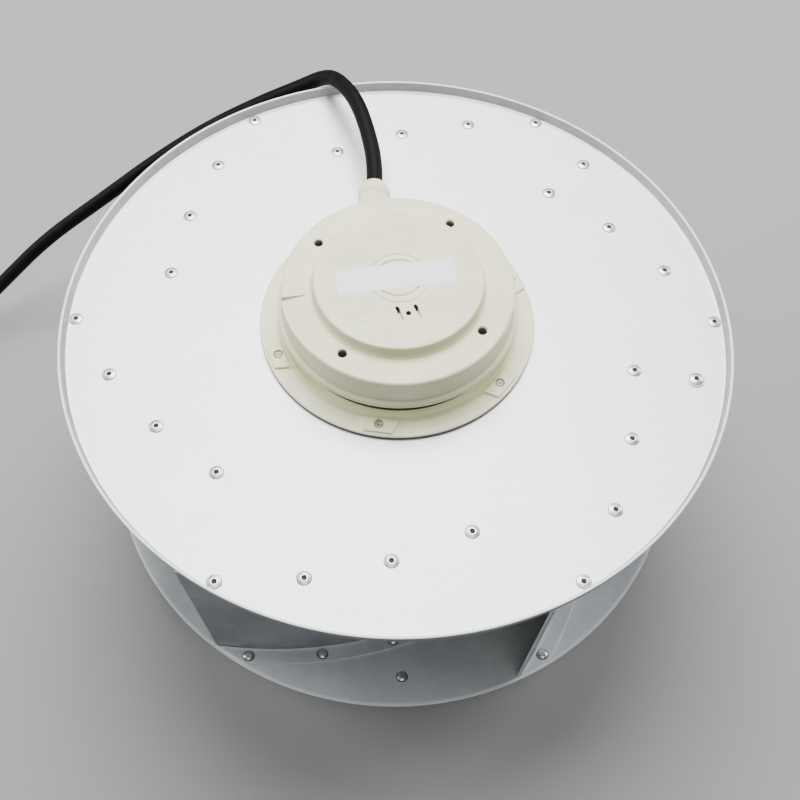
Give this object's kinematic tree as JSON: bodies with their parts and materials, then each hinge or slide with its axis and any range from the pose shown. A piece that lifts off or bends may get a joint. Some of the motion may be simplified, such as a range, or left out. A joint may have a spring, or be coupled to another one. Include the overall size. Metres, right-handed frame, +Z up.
{
  "type": "centrifugal fan",
  "caption": "Centrifugal fan: riveted sheet-metal wheel with backward-curved blades on an outer-rotor motor with a fixed mounting flange, cable gland and cable.",
  "frame": {"origin": "on the fan's axis, at the lower edge of the inlet collar that it stands on", "axes": "+Z up along the axis, out of the motor's mounting face; +X to the right in the picture, +Y away from the camera, the side where the cable gland points"},
  "size_m": [0.8175, 0.5365, 0.2936],
  "materials": {
    "zinc_sheet": "matt zinc-coated sheet, faintly mottled",
    "rivet": "plain blind rivet, satin",
    "cast_rotor": "cast light alloy, turned edges",
    "core_steel": "stacked electrical sheet, dark",
    "shaft_steel": "ground steel",
    "black_steel": "blackened steel",
    "cream_paint": "cream paint over a casting",
    "copper": "enamelled copper wire",
    "cream_plastic": "cream nylon",
    "seal_rubber": "black rubber",
    "cable_jacket": "black cable jacket, slightly glossy",
    "tie_plastic": "black nylon strap",
    "core_insulation": "coloured core insulation",
    "ferrule_tin": "tinned sleeve"
  },
  "bodies": {
    "motor_stator": {"bearing_ball_sets": "shaft_steel", "stator_flange": "cream_paint", "stator_core": "core_steel", "windings": "copper", "bearing_outer_rings": "shaft_steel", "preload_spring": "black_steel", "cable_gland": "cream_plastic", "gland_nut": "cream_plastic", "gland_seal": "seal_rubber", "cable": "cable_jacket", "cable_coil": "cable_jacket", "coil_tie": "tie_plastic", "cable_cores": "core_insulation", "core_ferrules": "ferrule_tin"},
    "impeller": {"back_plate": "zinc_sheet", "shroud": "zinc_sheet", "blade_1": "zinc_sheet", "blade_2": "zinc_sheet", "blade_3": "zinc_sheet", "blade_4": "zinc_sheet", "blade_5": "zinc_sheet", "blade_6": "zinc_sheet", "back_plate_rivets": "rivet", "shroud_rivets": "rivet", "balance_rivets": "rivet", "balance_washer": "rivet", "rotor_housing": "cast_rotor", "rotor_core": "core_steel", "shaft": "shaft_steel", "bearing_inner_rings": "shaft_steel", "circlip": "black_steel", "flange_screws": "black_steel"}
  },
  "joints": [
    {"name": "impeller_spin", "type": "hinge", "parent": "motor_stator", "child": "impeller", "pos_m": [0, 0, 0], "axis": [0, 0, 1], "continuous": true}
  ]
}
